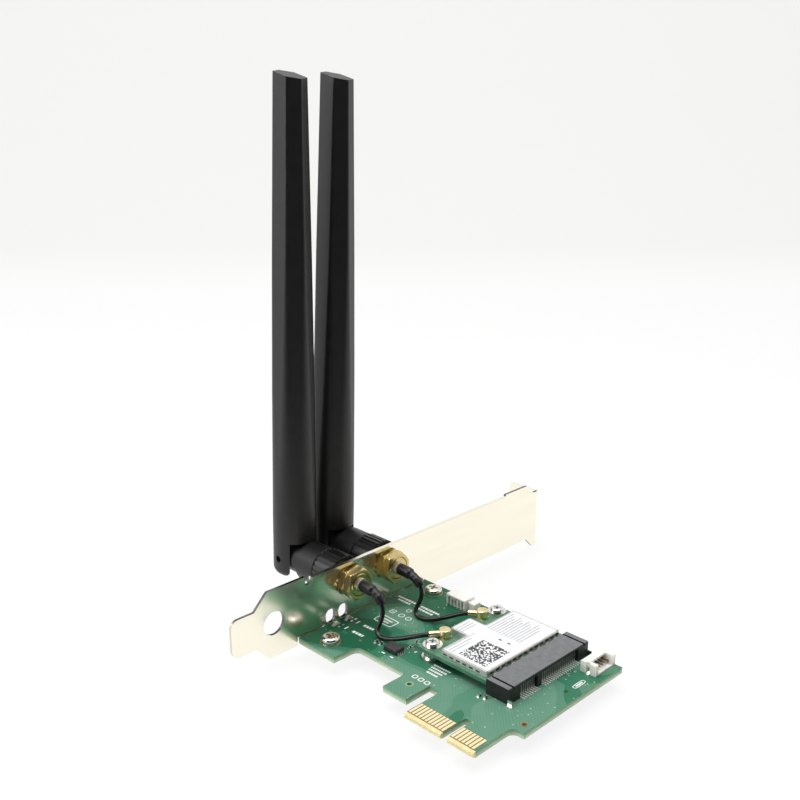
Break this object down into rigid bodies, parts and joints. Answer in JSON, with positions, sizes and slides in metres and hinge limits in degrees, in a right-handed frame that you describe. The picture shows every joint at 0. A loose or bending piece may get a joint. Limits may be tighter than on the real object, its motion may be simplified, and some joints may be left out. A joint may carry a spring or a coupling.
{
  "type": "wireless network card",
  "caption": "Desktop wireless network card: green carrier board with an edge connector, steel rear bracket, plug-in radio module, coax leads and folding black rod antennas.",
  "frame": {"origin": "on the key notch's centre line and the carrier board's mid-plane, at the floor of the slot that the card plugs into, 1.2 mm past the contact tips", "axes": "+X along the board away from the bracket, +Y away from the slot, +Z the component side"},
  "size_m": [0.0959, 0.12, 0.1461],
  "materials": {
    "solder_mask": "satin",
    "module_mask": "satin",
    "gold_plate": "satin",
    "brass": "polished",
    "bright_steel": "polished",
    "tinplate": "satin",
    "white_insulator": "matte",
    "label_film": "satin",
    "chip_ceramic": "satin",
    "black_moulding": "matte",
    "cream_moulding": "satin",
    "cable_jacket": "satin",
    "black_sleeve": "matte",
    "antenna_black": "matte",
    "clear_lamp": "gloss"
  },
  "bodies": {
    "card": {"board_capacitors": "chip_ceramic", "bracket": "bright_steel", "bracket_screws": "bright_steel", "carrier_board": "solder_mask", "chip_body": "black_moulding", "chip_leads": "tinplate", "crimp_ferrules": "brass", "edge_contacts": "gold_plate", "jack_contacts": "gold_plate", "jack_insulators": "white_insulator", "jack_nuts": "brass", "jack_washers": "brass", "left_coax": "cable_jacket", "left_coax_plug": "gold_plate", "left_jack_body": "brass", "left_sleeve": "black_sleeve", "module_board": "module_mask", "module_capacitors": "chip_ceramic", "module_contacts": "gold_plate", "module_label": "label_film", "module_posts": "tinplate", "module_receptacles": "gold_plate", "module_screws": "bright_steel", "module_shield": "tinplate", "rear_header_housing": "cream_moulding", "rear_header_leads": "tinplate", "right_coax": "cable_jacket", "right_coax_plug": "gold_plate", "right_jack_body": "brass", "right_sleeve": "black_sleeve", "side_header_housing": "cream_moulding", "side_header_leads": "tinplate", "side_header_tabs": "tinplate", "socket_contacts": "tinplate", "socket_hold_downs": "tinplate", "socket_housing": "black_moulding", "status_lamps": "clear_lamp"},
    "left_nut": {"left_coupling_nut": "antenna_black", "left_nut_insert": "brass"},
    "left_swivel_body": {"left_swivel": "antenna_black", "left_plug_core": "brass"},
    "left_blade_body": {"left_blade": "antenna_black", "left_hinge_pin": "bright_steel", "left_radiator": "brass"},
    "right_nut": {"right_coupling_nut": "antenna_black", "right_nut_insert": "brass"},
    "right_swivel_body": {"right_swivel": "antenna_black", "right_plug_core": "brass"},
    "right_blade_body": {"right_blade": "antenna_black", "right_hinge_pin": "bright_steel", "right_radiator": "brass"}
  },
  "joints": [
    {"name": "left_nut_spin", "type": "hinge", "parent": "card", "child": "left_nut", "pos_m": [-0.06026, 0.02305, 0.01119], "axis": [1, 0, 0], "continuous": true},
    {"name": "left_swivel_turn", "type": "hinge", "parent": "card", "child": "left_swivel_body", "pos_m": [-0.06786, 0.02305, 0.01119], "axis": [1, 0, 0], "range_deg": [0, 180]},
    {"name": "left_blade_tilt", "type": "hinge", "parent": "left_swivel_body", "child": "left_blade_body", "pos_m": [-0.07795, 0.02305, 0.01119], "axis": [0, 0.9996, -0.0297], "range_deg": [-90, 0]},
    {"name": "right_nut_spin", "type": "hinge", "parent": "card", "child": "right_nut", "pos_m": [-0.06026, 0.037, 0.01119], "axis": [1, 0, 0], "continuous": true},
    {"name": "right_swivel_turn", "type": "hinge", "parent": "card", "child": "right_swivel_body", "pos_m": [-0.06786, 0.037, 0.01119], "axis": [1, 0, 0], "range_deg": [-180, 0]},
    {"name": "right_blade_tilt", "type": "hinge", "parent": "right_swivel_body", "child": "right_blade_body", "pos_m": [-0.07795, 0.037, 0.01119], "axis": [0, 0.9991, -0.0419], "range_deg": [-90, 0]}
  ]
}
